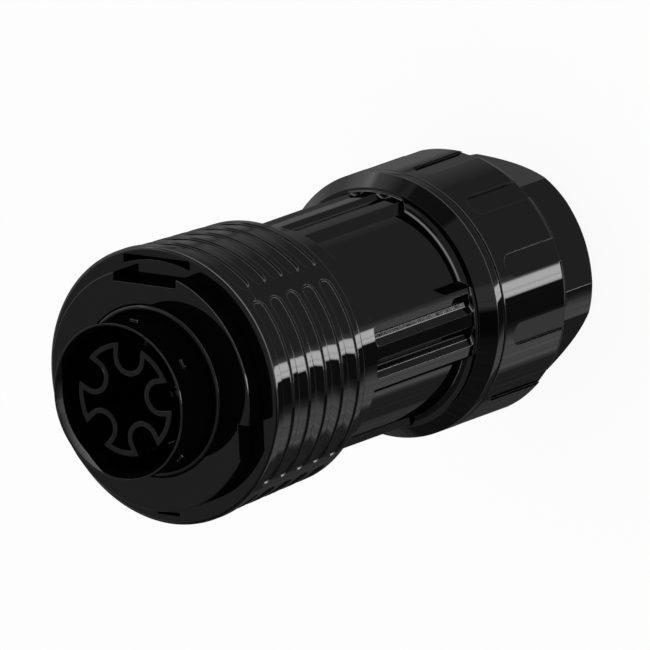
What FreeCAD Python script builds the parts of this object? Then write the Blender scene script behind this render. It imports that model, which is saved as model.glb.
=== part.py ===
"""Inline socket connector: a five-pole cable socket with a pull-back coupling sleeve and a cable gland.

Millimetres. +Z runs along the axis towards the mating face, z = 0 is the rear face of the gland nut,
and +Y points at the wide key notch of the collar.
"""

import FreeCAD, Part
import math
import os

from FreeCAD import Vector

# Clearances
RUNNING_GAP = 0.05
SLIDE_GAP = 0.2
SLEEVE_GAP = 0.3
SEAT_GAP = 0.1

# Body barrel
BARREL_R = 18.25
BARREL_LEN = 30.7
FLANGE_LAND = 1.6
FLANGE_CONE = 2.3
FLANGE_CONE_STEP = 0.61
PANELS = 4
PANEL_DEPTH = 1.15
PANEL_FRONT = 5.7
PANEL_TOP_HALF = 28.0
PANEL_FLOOR_HALF = 23.5
FLUTE_SETBACK = 0.3
FLUTE_TURN = 1.3
FLUTE_SPREAD = 8.1
FLUTE_WIDTH = 3.4
FLUTE_FLOOR = 0.8
FLUTE_DEPTH = 1.35
FLUTE_CORNER = 0.7
NECK_STEP = 2.05
NECK_WALL = 1.6
CHAMBER_STEP = 2.6
SPRING_ROOM = 12.0

# Gland spigot, seals and clamp
SEAL_STEP = 0.85
SEAL_HEAD_LEN = 8.5
SEAL_BORE_R = 8.0
SPIGOT_WALL = 3.1
SPIGOT_LEN = 12.4
CAGE_WALL = 1.5
CAGE_TIP = 0.5
CAGE_ROOM = 0.8
CAGE_FLANGE = 1.9
CAGE_FLANGE_SETBACK = 0.8
CAGE_FINGERS = 12
CAGE_SLIT = 0.9
CAGE_RING = 1.4
SLIP_RING_LEN = 3.0
SLIP_RING_LIP = 0.8
CABLE_R = 5.5
INSERT_FLANGE = 1.4
INSERT_FLANGE_LIP = 1.6

# Gland nut
NUT_WALL = 4.6
NUT_GRIP_LEN = 15.9
NUT_POCKETS = 12
NUT_POCKET_WIDTH = 3.63
NUT_POCKET_CORNER = 1.78
NUT_POCKET_DEPTH = 0.5
NUT_POCKET_FRONT = 2.2
NUT_POCKET_TURN = 20.2
NUT_EDGE = 0.5
HEX_LEN = 13.8
HEX_WALL = 2.0
HEX_CORNER = 1.3
HEX_TURN = 19.7
HEX_CONE_LEN = 3.2
HEX_CONE_STEP = 2.9
EXIT_LIP = 1.0
NUT_FLOOR = 4.6
NUT_PARTING = 0.2

# Coupling sleeve
SLEEVE_SIDE = 3.05
SLEEVE_REAR_SIDE = 2.0
SLEEVE_BAND_STEP = 0.25
SLEEVE_LEN = 24.0
SLEEVE_EDGE = 0.7
SLEEVE_WALL = 3.0
GRIP_GROOVES = 5
GRIP_FIRST = 3.6
GRIP_PITCH = 4.28
GRIP_WIDTH = 2.6
GRIP_DEPTH = 0.35
GRIP_SEGMENTS = 4
GRIP_LAND_ANGLE = 6.0
LATCH_ARC_DEPTH = 2.0
LATCH_FLAT_DEPTH = 1.55
LATCH_TOP_HALF = 17.5
LATCH_LOW_HALF = 4.5
LATCH_DEPTH = 5.5
SPRING_WIRE = 1.1
SPRING_HALF_TURNS = 7

# Insert shroud
COLLAR_LIP = 2.6
COLLAR_LEN = 3.1
COLLAR_EDGE = 0.2
TUBE_R = 12.2
TUBE_WALL = 0.85
TUBE_LEN = 7.9
TUBE_LIP_LEN = 1.9
TUBE_LIP_STEP = 0.15
NOTCH_DEPTH = 2.3
NOTCH_WIDTH = 12.0
SIDE_NOTCH_DEPTH = 1.6
SIDE_NOTCH_WIDTH = 9.0
FLAT_DEPTH = 2.3
FLAT_TOP = -3.4
SKIRT_LEN = 9.6
KEY_ANGLES = (83.0, 32.0, -43.0, -167.0)
KEY_WIDTH = 1.5
KEY_LEN = 2.4
KEY_SETBACK = 2.6
KEY_HEIGHT = 0.35
FACE_SEAL_R = 0.55
FACE_SEAL_SINK = 0.8
RADIAL_SEAL_R = 0.8
RADIAL_SEAL_SETBACK = 4.8

# Contacts and their carriers
POLES = 5
POLE_CIRCLE_R = 6.7
POLE_TURN = 9.0
CHAMBER_R = 2.06
CHAMBER_MOUTH = 4.9
WEB_LIP = 2.15
WEB_WALL = 0.9
WEB_SETBACK = 1.8
CARRIER_FLANGE = 3.0
CARRIER_HUB = 4.0
SOCKET_R = 1.85
SOCKET_BORE_R = 1.25
SOCKET_BORE_LEN = 12.0
SOCKET_SETBACK = 6.0
SOCKET_SLIT = 0.35
SOCKET_SLIT_LEN = 8.0
SPRING_RING_WALL = 0.18
SPRING_RING_LEN = 3.0
SPRING_RING_SETBACK = 1.2
BARREL_CONTACT_R = 2.6
BARREL_CONTACT_LEN = 20.0
WIRE_BORE_R = 1.7
WIRE_BORE_LEN = 11.0
BLOCK_LEN = 24.0
WIRE_HOLE_R = 2.2
SCREW_R = 1.45
SCREW_LEN = 4.4
SCREW_SETBACK = 5.0
SCREW_SLOT = 0.6
SCREW_SLOT_DEPTH = 0.8
SCREW_HOLE_R = 1.8

# Radii that follow from the barrel outwards and inwards
PANEL_R = BARREL_R - PANEL_DEPTH
FLANGE_CONE_R = BARREL_R + FLANGE_CONE_STEP
NECK_R = BARREL_R - NECK_STEP
BORE_R = NECK_R - NECK_WALL
WIRE_CHAMBER_R = BORE_R - CHAMBER_STEP
SEAL_HEAD_R = WIRE_CHAMBER_R + SEAL_STEP
SPIGOT_R = SEAL_HEAD_R + RUNNING_GAP + SPIGOT_WALL
CAGE_R = SEAL_HEAD_R - SEAL_STEP
CAGE_FLANGE_R = SPIGOT_R - CAGE_FLANGE_SETBACK
INSERT_FLANGE_R = SEAL_BORE_R + INSERT_FLANGE_LIP
NUT_CAVITY_R = CAGE_R + CAGE_WALL + CAGE_ROOM
NUT_GRIP_R = SPIGOT_R + SLIDE_GAP + NUT_WALL
HEX_FLAT_R = NUT_CAVITY_R + HEX_WALL
HEX_CORNER_R = HEX_FLAT_R + HEX_CORNER
NUT_REAR_R = HEX_CORNER_R - HEX_CONE_STEP
CABLE_EXIT_R = CAGE_R - EXIT_LIP
SLEEVE_R = BARREL_R + SLEEVE_GAP + SLEEVE_SIDE
SLEEVE_WAIST_R = SLEEVE_R - SLEEVE_BAND_STEP
SLEEVE_REAR_R = BARREL_R + SLEEVE_GAP + SLEEVE_REAR_SIDE
LATCH_ARC_R = SLEEVE_R - LATCH_ARC_DEPTH
LATCH_FLAT = SLEEVE_R - LATCH_FLAT_DEPTH
COLLAR_R = NECK_R + COLLAR_LIP
WEB_R = POLE_CIRCLE_R + WEB_LIP

# Stations along the axis
NUT_FRONT = HEX_LEN + NUT_GRIP_LEN
FLANGE_REAR = NUT_FRONT + NUT_PARTING
SPIGOT_REAR = FLANGE_REAR - SPIGOT_LEN
CONE_REAR = FLANGE_REAR + FLANGE_LAND
BARREL_REAR = CONE_REAR + FLANGE_CONE
SLEEVE_REAR = BARREL_REAR + BARREL_LEN
SLEEVE_FRONT = SLEEVE_REAR + SLEEVE_LEN
BAND_REAR = SLEEVE_FRONT - GRIP_FIRST
COLLAR_REAR = SLEEVE_FRONT + SEAT_GAP
COLLAR_FRONT = COLLAR_REAR + COLLAR_LEN
TUBE_FRONT = COLLAR_FRONT + TUBE_LEN
SHOULDER = COLLAR_REAR - SPRING_ROOM
SKIRT_REAR = COLLAR_REAR - SKIRT_LEN
BLOCK_FRONT = SKIRT_REAR - CARRIER_FLANGE
BLOCK_REAR = BLOCK_FRONT - BLOCK_LEN
HUB_FRONT = SKIRT_REAR + CARRIER_HUB
WEB_FRONT = TUBE_FRONT - WEB_SETBACK
SOCKET_FRONT = WEB_FRONT - SOCKET_SETBACK
CONTACT_REAR = BLOCK_FRONT - BARREL_CONTACT_LEN
SCREW_Z = CONTACT_REAR + SCREW_SETBACK
SEAL_FRONT = SPIGOT_REAR + SEAL_HEAD_LEN
SLIP_REAR = NUT_FLOOR + RUNNING_GAP
SLIP_FRONT = SLIP_REAR + SLIP_RING_LEN
FINGER_R = CAGE_R + CAGE_WALL
FINGER_TIP_R = CAGE_R + CAGE_TIP
SLIP_BORE_R = CAGE_R - SLIP_RING_LIP
SLIP_CONE = (FINGER_R + SLIDE_GAP - SLIP_BORE_R) / (SLIP_RING_LEN - SLIP_RING_LIP)
FINGER_REAR = SLIP_FRONT - (FINGER_R - FINGER_TIP_R) / SLIP_CONE
TUBE_BORE_R = TUBE_R - TUBE_WALL
SKIRT_R = BORE_R - SEAT_GAP
SPRING_R = (NECK_R + BARREL_R + SLEEVE_GAP) / 2

AXIS = Vector(0, 0, 1)
ORIGIN = Vector(0, 0, 0)
OVERCUT = 1.0


def disc(radius, low, high):
    """A solid cylinder on the axis between two stations."""
    return Part.makeCylinder(radius, high - low, Vector(0, 0, low))


def tube(outer, inner, low, high):
    """A hollow cylinder on the axis between two stations."""
    return disc(outer, low, high).cut(disc(inner, low - OVERCUT, high + OVERCUT))


def turned(*profile):
    """A solid of revolution from (radius, z) corners."""
    corners = [Vector(radius, 0, z) for radius, z in profile]
    wire = Part.makePolygon(corners + corners[:1])
    return Part.Face(wire).revolve(ORIGIN, AXIS, 360)


def turn(shape, angle):
    """A copy of a shape turned about the axis."""
    copy = shape.copy()
    copy.rotate(ORIGIN, AXIS, angle)
    return copy


def around(shape, count, first=0.0):
    """A list of copies of a shape spaced evenly round the axis."""
    return [turn(shape, first + 360.0 * step / count) for step in range(count)]


def rounded_plate(width, length, corner, low_x, high_x, mid_z):
    """A block along +X whose face is a rectangle in Y and Z with rounded corners."""
    block = Part.makeBox(high_x - low_x, width, length, Vector(low_x, -width / 2, mid_z - length / 2))
    edges = [edge for edge in block.Edges if abs(edge.tangentAt(edge.FirstParameter).x) > 0.9]
    return block.makeFillet(corner, edges)


def hex_prism(low, high):
    """The nut's hexagon, with its corners turned down to a cylinder."""
    corner = Vector(HEX_FLAT_R / math.cos(math.radians(30)), 0, low)
    points = [FreeCAD.Rotation(AXIS, 60 * side).multVec(corner) for side in range(6)]
    face = Part.Face(Part.makePolygon(points + points[:1]))
    prism = face.extrude(Vector(0, 0, high - low)).common(disc(HEX_CORNER_R, low, high))
    return turn(prism, HEX_TURN + 30)


def gland_nut():
    """Round grip with shallow pockets, hexagon behind it, coned rear end and a stepped bore."""
    grip = disc(NUT_GRIP_R, HEX_LEN, NUT_FRONT)
    rims = [edge for edge in grip.Edges if isinstance(edge.Curve, Part.Circle)]
    grip = grip.makeChamfer(NUT_EDGE, [edge for edge in rims if edge.Curve.Center.z < NUT_FRONT - NUT_EDGE])
    length = NUT_GRIP_LEN - NUT_POCKET_FRONT + NUT_POCKET_WIDTH
    middle = NUT_FRONT - NUT_POCKET_FRONT - length / 2
    floor = NUT_GRIP_R - NUT_POCKET_DEPTH
    pocket = rounded_plate(
        NUT_POCKET_WIDTH, length, NUT_POCKET_CORNER, floor - OVERCUT, NUT_GRIP_R + OVERCUT, middle
    )
    pocket = pocket.cut(disc(floor, middle - length, NUT_FRONT))
    grip = grip.cut(around(pocket, NUT_POCKETS, NUT_POCKET_TURN))
    cone = turned(
        (0, 0),
        (NUT_REAR_R, 0),
        (HEX_CORNER_R, HEX_CONE_LEN),
        (HEX_CORNER_R, HEX_LEN),
        (0, HEX_LEN),
    )
    nut = grip.fuse(hex_prism(0, HEX_LEN).common(cone))
    thread_floor = SPIGOT_REAR - CAGE_FLANGE - SLIDE_GAP
    thread_bore = disc(SPIGOT_R + SLIDE_GAP, thread_floor, NUT_FRONT + OVERCUT)
    cavity = disc(NUT_CAVITY_R, NUT_FLOOR, thread_floor + OVERCUT)
    exit_bore = disc(CABLE_EXIT_R, -OVERCUT, NUT_FLOOR + OVERCUT)
    return nut.cut([thread_bore, cavity, exit_bore]).removeSplitter()


def slip_ring():
    """Thrust ring on the nut's floor, coned inside to press the clamp fingers together."""
    outer = NUT_CAVITY_R - SLIDE_GAP
    return turned(
        (SLIP_BORE_R, SLIP_REAR),
        (outer, SLIP_REAR),
        (outer, SLIP_FRONT),
        (FINGER_R + SLIDE_GAP, SLIP_FRONT),
        (SLIP_BORE_R, SLIP_REAR + SLIP_RING_LIP),
    )


def clamp_cage():
    """Flanged ring with spring fingers that close on the cable seal."""
    flange_rear = SPIGOT_REAR - CAGE_FLANGE
    cage = turned(
        (CAGE_R, FINGER_REAR),
        (FINGER_TIP_R, FINGER_REAR),
        (FINGER_R, SLIP_FRONT),
        (FINGER_R, flange_rear),
        (CAGE_FLANGE_R, flange_rear),
        (CAGE_FLANGE_R, SPIGOT_REAR),
        (CAGE_R, SPIGOT_REAR),
    )
    slit_len = flange_rear - CAGE_RING - FINGER_REAR + OVERCUT
    slit = Part.makeBox(2 * CAGE_WALL + CAGE_R, CAGE_SLIT, slit_len)
    slit.translate(Vector(0, -CAGE_SLIT / 2, FINGER_REAR - OVERCUT))
    return cage.cut(around(slit, CAGE_FINGERS))


def cable_seal():
    """Rubber bush: its head fills the spigot and its tail lies inside the clamp fingers."""
    tail = CAGE_R - SEAT_GAP
    return turned(
        (SEAL_BORE_R, FINGER_REAR),
        (tail, FINGER_REAR),
        (tail, SPIGOT_REAR),
        (SEAL_HEAD_R, SPIGOT_REAR),
        (SEAL_HEAD_R, SEAL_FRONT),
        (SEAL_BORE_R, SEAL_FRONT),
    )


def seal_insert():
    """Reducing bush for thin cables, with a flange to pull it out by."""
    outer = SEAL_BORE_R - RUNNING_GAP
    flange_rear = FINGER_REAR - INSERT_FLANGE
    return turned(
        (CABLE_R, flange_rear),
        (INSERT_FLANGE_R, flange_rear),
        (INSERT_FLANGE_R, FINGER_REAR),
        (outer, FINGER_REAR),
        (outer, SEAL_FRONT),
        (CABLE_R, SEAL_FRONT),
    )


def body_blank():
    """The barrel, its coned flange, the gland spigot and the sleeve's neck."""
    return turned(
        (0, SPIGOT_REAR),
        (SPIGOT_R, SPIGOT_REAR),
        (SPIGOT_R, FLANGE_REAR),
        (NUT_GRIP_R, FLANGE_REAR),
        (NUT_GRIP_R, CONE_REAR),
        (FLANGE_CONE_R, BARREL_REAR),
        (BARREL_R, BARREL_REAR),
        (BARREL_R, SHOULDER),
        (NECK_R, SHOULDER),
        (NECK_R, COLLAR_REAR),
        (0, COLLAR_REAR),
    )


def panel_cut():
    """One recessed panel of the barrel: a lower round floor between sloping sides."""
    front = SLEEVE_REAR - PANEL_FRONT
    floor = math.radians(PANEL_FLOOR_HALF)
    top = math.radians(PANEL_TOP_HALF)
    half = [
        (PANEL_R * math.cos(floor), PANEL_R * math.sin(floor)),
        (BARREL_R * math.cos(top), BARREL_R * math.sin(top)),
        (BARREL_R + OVERCUT, BARREL_R),
    ]
    corners = [Vector(x, y, BARREL_REAR) for x, y in half]
    corners += [Vector(x, -y, BARREL_REAR) for x, y in reversed(half)]
    wedge = Part.Face(Part.makePolygon(corners + corners[:1])).extrude(Vector(0, 0, front - BARREL_REAR))
    return wedge.cut(disc(PANEL_R, BARREL_REAR - OVERCUT, front + OVERCUT))


def flute_cut():
    """One long flute of the barrel: sloping sides, a narrow floor and rounded corners."""
    front = SLEEVE_REAR - PANEL_FRONT
    rear = BARREL_REAR + FLUTE_SETBACK
    floor = BARREL_R - FLUTE_DEPTH
    side = (FLUTE_WIDTH - FLUTE_FLOOR) / 2 / FLUTE_DEPTH * (FLUTE_DEPTH + OVERCUT) + FLUTE_FLOOR / 2
    corners = [
        Vector(floor, -FLUTE_FLOOR / 2, rear),
        Vector(BARREL_R + OVERCUT, -side, rear),
        Vector(BARREL_R + OVERCUT, side, rear),
        Vector(floor, FLUTE_FLOOR / 2, rear),
    ]
    channel = Part.Face(Part.makePolygon(corners + corners[:1])).extrude(Vector(0, 0, front - rear))
    ends = rounded_plate(
        FLUTE_WIDTH, front - rear, FLUTE_CORNER, floor - OVERCUT, BARREL_R + 2 * OVERCUT, (front + rear) / 2
    )
    return channel.common(ends)


def socket_body():
    """Main housing: panels at the diagonals, pairs of flutes between them, stepped bore inside."""
    body = body_blank()
    quarter = 360.0 / PANELS
    body = body.cut(around(panel_cut(), PANELS, quarter / 2))
    for side in (-FLUTE_SPREAD, FLUTE_SPREAD):
        body = body.cut(around(flute_cut(), PANELS, FLUTE_TURN + side))
    bores = [
        disc(SEAL_HEAD_R + RUNNING_GAP, SPIGOT_REAR - OVERCUT, SEAL_FRONT),
        disc(WIRE_CHAMBER_R, SEAL_FRONT - OVERCUT, BLOCK_REAR + OVERCUT),
        disc(BORE_R, BLOCK_REAR, COLLAR_REAR + OVERCUT),
    ]
    return body.cut(bores)


def grip_groove(middle):
    """One segment of a grip groove round a station: a shallow arc with round ends."""
    slope = (SLEEVE_WAIST_R - SLEEVE_REAR_R) / (BAND_REAR - SLEEVE_REAR)
    floor = SLEEVE_REAR_R + (middle - SLEEVE_REAR) * slope - GRIP_DEPTH
    half = GRIP_WIDTH / 2
    end = math.degrees(half / SLEEVE_R)
    sweep = 360.0 / GRIP_SEGMENTS - GRIP_LAND_ANGLE - 2 * end
    corners = [
        Vector(floor, 0, middle - half),
        Vector(SLEEVE_R + OVERCUT, 0, middle - half),
        Vector(SLEEVE_R + OVERCUT, 0, middle + half),
        Vector(floor, 0, middle + half),
    ]
    section = Part.Face(Part.makePolygon(corners + corners[:1]))
    arc = turn(section.revolve(ORIGIN, AXIS, sweep), -sweep / 2)
    post = Part.makeCylinder(half, SLEEVE_R, Vector(0, 0, middle), Vector(1, 0, 0))
    post = post.common(tube(SLEEVE_R + OVERCUT, floor, middle - GRIP_WIDTH, middle + GRIP_WIDTH))
    return arc.fuse([turn(post, -sweep / 2), turn(post, sweep / 2)])


def latch_pocket(half_angle):
    """Pocket for a latch of the mating half: round inner wall and flat outer wall."""
    span = 2 * LATCH_FLAT * math.tan(math.radians(half_angle))
    block = Part.makeBox(LATCH_FLAT, span, LATCH_DEPTH + OVERCUT)
    block.translate(Vector(0, -span / 2, SLEEVE_FRONT - LATCH_DEPTH))
    return block.cut(disc(LATCH_ARC_R, SLEEVE_REAR, SLEEVE_FRONT + 2 * OVERCUT))


def coupling_sleeve():
    """Pull-back sleeve: front band, tapered grip with rows of grooves, and a wall held by the collar."""
    cavity = BARREL_R + SLEEVE_GAP
    bore = NECK_R + SLIDE_GAP
    wall = SLEEVE_FRONT - SLEEVE_WALL
    sleeve = turned(
        (cavity, SLEEVE_REAR),
        (SLEEVE_REAR_R, SLEEVE_REAR),
        (SLEEVE_WAIST_R, BAND_REAR),
        (SLEEVE_R, BAND_REAR),
        (SLEEVE_R, SLEEVE_FRONT),
        (bore, SLEEVE_FRONT),
        (bore, wall),
        (cavity, wall),
    )
    rims = [edge for edge in sleeve.Edges if isinstance(edge.Curve, Part.Circle)]
    outer = [edge for edge in rims if edge.Curve.Radius > SLEEVE_REAR_R - RUNNING_GAP]
    ends = [edge for edge in outer if abs(edge.Curve.Center.z - BAND_REAR) > GRIP_WIDTH / 2]
    sleeve = sleeve.makeFillet(SLEEVE_EDGE, ends)
    sleeve = sleeve.cut([turn(latch_pocket(LATCH_TOP_HALF), 90), turn(latch_pocket(LATCH_LOW_HALF), -90)])
    grooves = []
    for row in range(GRIP_GROOVES):
        grooves += around(grip_groove(BAND_REAR - row * GRIP_PITCH), GRIP_SEGMENTS)
    return sleeve.cut(grooves)


def sleeve_spring():
    """Coil spring between the body's shoulder and the sleeve's front wall, built of tilted half turns."""
    low = SHOULDER + SPRING_WIRE / 2 + RUNNING_GAP
    high = SLEEVE_FRONT - SLEEVE_WALL - SPRING_WIRE / 2 - RUNNING_GAP
    rise = (high - low) / SPRING_HALF_TURNS
    halves = []
    for step in range(SPRING_HALF_TURNS):
        side = (-1) ** step
        start = Vector(side * SPRING_R, 0, low + step * rise)
        wire = Part.Face(Part.Wire(Part.makeCircle(SPRING_WIRE / 2, start, Vector(0, 1, 0))))
        tilt = Vector(side * rise, 0, 2 * SPRING_R)
        halves.append(wire.revolve(Vector(0, 0, low + (step + 0.5) * rise), tilt, 180))
    return halves[0].multiFuse(halves[1:])


def collar_cuts():
    """Key notch at the top, a narrower one on the left and a low flat on the right."""
    low = COLLAR_REAR - OVERCUT
    height = COLLAR_LEN + 2 * OVERCUT
    floor = COLLAR_R - NOTCH_DEPTH
    side_floor = COLLAR_R - SIDE_NOTCH_DEPTH
    flat_floor = COLLAR_R - FLAT_DEPTH
    top = Part.makeBox(NOTCH_WIDTH, COLLAR_R, height, Vector(-NOTCH_WIDTH / 2, floor, low))
    left = Part.makeBox(COLLAR_R, SIDE_NOTCH_WIDTH, height)
    left.translate(Vector(-side_floor - COLLAR_R, -SIDE_NOTCH_WIDTH / 2, low))
    right = Part.makeBox(COLLAR_R, COLLAR_R, height, Vector(flat_floor, FLAT_TOP - COLLAR_R, low))
    return [top, left, right]


def insert_shroud():
    """Keyed collar with the thin mating tube in front and a skirt that plugs into the body."""
    groove_r = BORE_R - 2 * RADIAL_SEAL_R - 2 * RUNNING_GAP
    groove_mid = COLLAR_REAR - RADIAL_SEAL_SETBACK
    groove_half = RADIAL_SEAL_R + SEAT_GAP
    lip_r = TUBE_R - TUBE_LIP_STEP
    collar = turned(
        (0, COLLAR_REAR),
        (COLLAR_R, COLLAR_REAR),
        (COLLAR_R, COLLAR_FRONT - COLLAR_EDGE),
        (COLLAR_R - COLLAR_EDGE, COLLAR_FRONT),
        (0, COLLAR_FRONT),
    ).cut(collar_cuts())
    front = turned(
        (0, COLLAR_REAR),
        (TUBE_R, COLLAR_REAR),
        (TUBE_R, TUBE_FRONT - TUBE_LIP_LEN),
        (lip_r, TUBE_FRONT - TUBE_LIP_LEN),
        (lip_r, TUBE_FRONT),
        (0, TUBE_FRONT),
    )
    skirt = disc(SKIRT_R, SKIRT_REAR, COLLAR_REAR)
    skirt = skirt.cut(tube(BORE_R + OVERCUT, groove_r, groove_mid - groove_half, groove_mid + groove_half))
    key_mid = TUBE_FRONT - KEY_SETBACK - KEY_LEN / 2
    key = rounded_plate(KEY_WIDTH, KEY_LEN, KEY_WIDTH / 3, TUBE_R - TUBE_WALL / 2, TUBE_R + OVERCUT, key_mid)
    key = key.common(disc(TUBE_R + KEY_HEIGHT, COLLAR_FRONT, TUBE_FRONT))
    shroud = collar.fuse([front, skirt] + [turn(key, angle) for angle in KEY_ANGLES])
    shroud = shroud.cut(disc(TUBE_BORE_R, SKIRT_REAR - OVERCUT, TUBE_FRONT + OVERCUT))
    seat_r = TUBE_R + 2 * FACE_SEAL_R + 2 * RUNNING_GAP
    return shroud.cut(tube(seat_r, TUBE_R, COLLAR_FRONT - FACE_SEAL_SINK, COLLAR_FRONT + OVERCUT))


def interface_seal():
    """Seal ring at the foot of the mating tube."""
    centre = TUBE_R + FACE_SEAL_R + RUNNING_GAP
    height = COLLAR_FRONT - FACE_SEAL_SINK + FACE_SEAL_R
    return Part.makeTorus(centre, FACE_SEAL_R, Vector(0, 0, height))


def insert_seal():
    """Seal ring in the groove of the insert's skirt."""
    centre = BORE_R - RADIAL_SEAL_R - RUNNING_GAP
    height = COLLAR_REAR - RADIAL_SEAL_SETBACK
    return Part.makeTorus(centre, RADIAL_SEAL_R - RUNNING_GAP / 2, Vector(0, 0, height))


def web_section(inset):
    """Face of the star web: a disc with a round-bottomed slot for each pole, drawn in by an inset."""
    face = Part.Face(Part.Wire(Part.makeCircle(WEB_R - inset)))
    slot_r = CHAMBER_R + inset
    mouth = CHAMBER_MOUTH / 2 + inset
    for pole in range(POLES):
        corners = [
            Vector(POLE_CIRCLE_R, -slot_r, 0),
            Vector(2 * WEB_R, -mouth, 0),
            Vector(2 * WEB_R, mouth, 0),
            Vector(POLE_CIRCLE_R, slot_r, 0),
        ]
        arc = Part.Arc(corners[3], Vector(POLE_CIRCLE_R - slot_r, 0, 0), corners[0]).toShape()
        slot = Part.Face(Part.Wire([Part.makePolygon(corners), arc]))
        face = face.cut(turn(slot, POLE_TURN + 360.0 * pole / POLES))
    return face


def contact_carrier():
    """Insulator with a flange, a hub and the star web that walls off the contacts."""
    hub_r = TUBE_BORE_R - SEAT_GAP
    base = disc(SKIRT_R, BLOCK_FRONT, SKIRT_REAR).fuse(disc(hub_r, SKIRT_REAR, HUB_FRONT))
    web = web_section(0).extrude(Vector(0, 0, WEB_FRONT - HUB_FRONT))
    web = web.cut(web_section(WEB_WALL).extrude(Vector(0, 0, WEB_FRONT - HUB_FRONT)))
    web.translate(Vector(0, 0, HUB_FRONT))
    hole = disc(SOCKET_R + SEAT_GAP, BLOCK_FRONT - OVERCUT, HUB_FRONT + OVERCUT)
    hole.translate(Vector(POLE_CIRCLE_R, 0, 0))
    return base.fuse(web).cut(around(hole, POLES, POLE_TURN)).removeSplitter()


def terminal_block():
    """Insulator behind the carrier that holds the contact barrels and lets the screws be reached."""
    block = disc(SKIRT_R, BLOCK_REAR, BLOCK_FRONT)
    barrel = Part.makeCylinder(
        BARREL_CONTACT_R + SEAT_GAP, BARREL_CONTACT_LEN + OVERCUT, Vector(POLE_CIRCLE_R, 0, CONTACT_REAR)
    )
    wire = Part.makeCylinder(
        WIRE_HOLE_R, CONTACT_REAR - BLOCK_REAR + 2 * OVERCUT, Vector(POLE_CIRCLE_R, 0, BLOCK_REAR - OVERCUT)
    )
    access = Part.makeCylinder(SCREW_HOLE_R, SKIRT_R, Vector(POLE_CIRCLE_R, 0, SCREW_Z), Vector(1, 0, 0))
    for pole_cut in (barrel, wire, access):
        block = block.cut(around(pole_cut, POLES, POLE_TURN))
    return block


def socket_contact():
    """Turned socket contact on the X axis of its pole: slit front, solid middle, screw barrel behind."""
    contact = disc(SOCKET_R, BLOCK_FRONT, SOCKET_FRONT)
    contact = contact.fuse(disc(BARREL_CONTACT_R, CONTACT_REAR, BLOCK_FRONT))
    groove_top = SOCKET_FRONT - SPRING_RING_SETBACK
    ring_groove = tube(
        SOCKET_R + OVERCUT, SOCKET_R - SPRING_RING_WALL, groove_top - SPRING_RING_LEN, groove_top
    )
    contact = contact.cut(ring_groove)
    contact = contact.cut(disc(SOCKET_BORE_R, SOCKET_FRONT - SOCKET_BORE_LEN, SOCKET_FRONT + OVERCUT))
    contact = contact.cut(disc(WIRE_BORE_R, CONTACT_REAR - OVERCUT, CONTACT_REAR + WIRE_BORE_LEN))
    slit_low = SOCKET_FRONT - SOCKET_SLIT_LEN
    for angle in (0, 90):
        slit = Part.makeBox(4 * SOCKET_R, SOCKET_SLIT, SOCKET_SLIT_LEN + OVERCUT)
        slit.translate(Vector(-2 * SOCKET_R, -SOCKET_SLIT / 2, slit_low))
        contact = contact.cut(turn(slit, angle))
    tapped = Part.makeCylinder(
        SCREW_R + RUNNING_GAP, 2 * BARREL_CONTACT_R, Vector(0, 0, SCREW_Z), Vector(1, 0, 0)
    )
    contact = contact.cut(tapped)
    contact.translate(Vector(POLE_CIRCLE_R, 0, 0))
    return contact


def contact_springs():
    """Steel ring round the tines of each contact."""
    top = SOCKET_FRONT - SPRING_RING_SETBACK - RUNNING_GAP
    inner = SOCKET_R - SPRING_RING_WALL + RUNNING_GAP / 2
    ring = tube(SOCKET_R, inner, top - SPRING_RING_LEN + 2 * RUNNING_GAP, top)
    ring.translate(Vector(POLE_CIRCLE_R, 0, 0))
    return Part.makeCompound(around(ring, POLES, POLE_TURN))


def terminal_screws():
    """Slotted terminal screw in the side of each contact barrel."""
    tip = POLE_CIRCLE_R + WIRE_BORE_R / 2
    screw = Part.makeCylinder(SCREW_R, SCREW_LEN, Vector(tip, 0, SCREW_Z), Vector(1, 0, 0))
    slot = Part.makeBox(SCREW_SLOT_DEPTH + OVERCUT, SCREW_SLOT, 4 * SCREW_R)
    slot.translate(Vector(tip + SCREW_LEN - SCREW_SLOT_DEPTH, -SCREW_SLOT / 2, SCREW_Z - 2 * SCREW_R))
    return Part.makeCompound(around(screw.cut(slot), POLES, POLE_TURN))


def main():
    pieces = {
        "gland_nut": gland_nut(),
        "slip_ring": slip_ring(),
        "clamp_cage": clamp_cage(),
        "cable_seal": cable_seal(),
        "seal_insert": seal_insert(),
        "socket_body": socket_body(),
        "coupling_sleeve": coupling_sleeve(),
        "sleeve_spring": sleeve_spring(),
        "insert_shroud": insert_shroud(),
        "interface_seal": interface_seal(),
        "insert_seal": insert_seal(),
        "contact_carrier": contact_carrier(),
        "terminal_block": terminal_block(),
        "contact_springs": contact_springs(),
        "terminal_screws": terminal_screws(),
    }
    for pole, contact in enumerate(around(socket_contact(), POLES, POLE_TURN), 1):
        pieces[f"socket_contact_{pole}"] = contact
    os.makedirs("parts", exist_ok=True)
    for name, shape in pieces.items():
        shape.exportStep(f"parts/{name}.step")


main()
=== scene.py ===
"""Looks of the inline socket connector: its moulded housings, insert, gland nut, finishes and studio."""

import math

import bpy
from mathutils import Matrix, Vector


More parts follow.
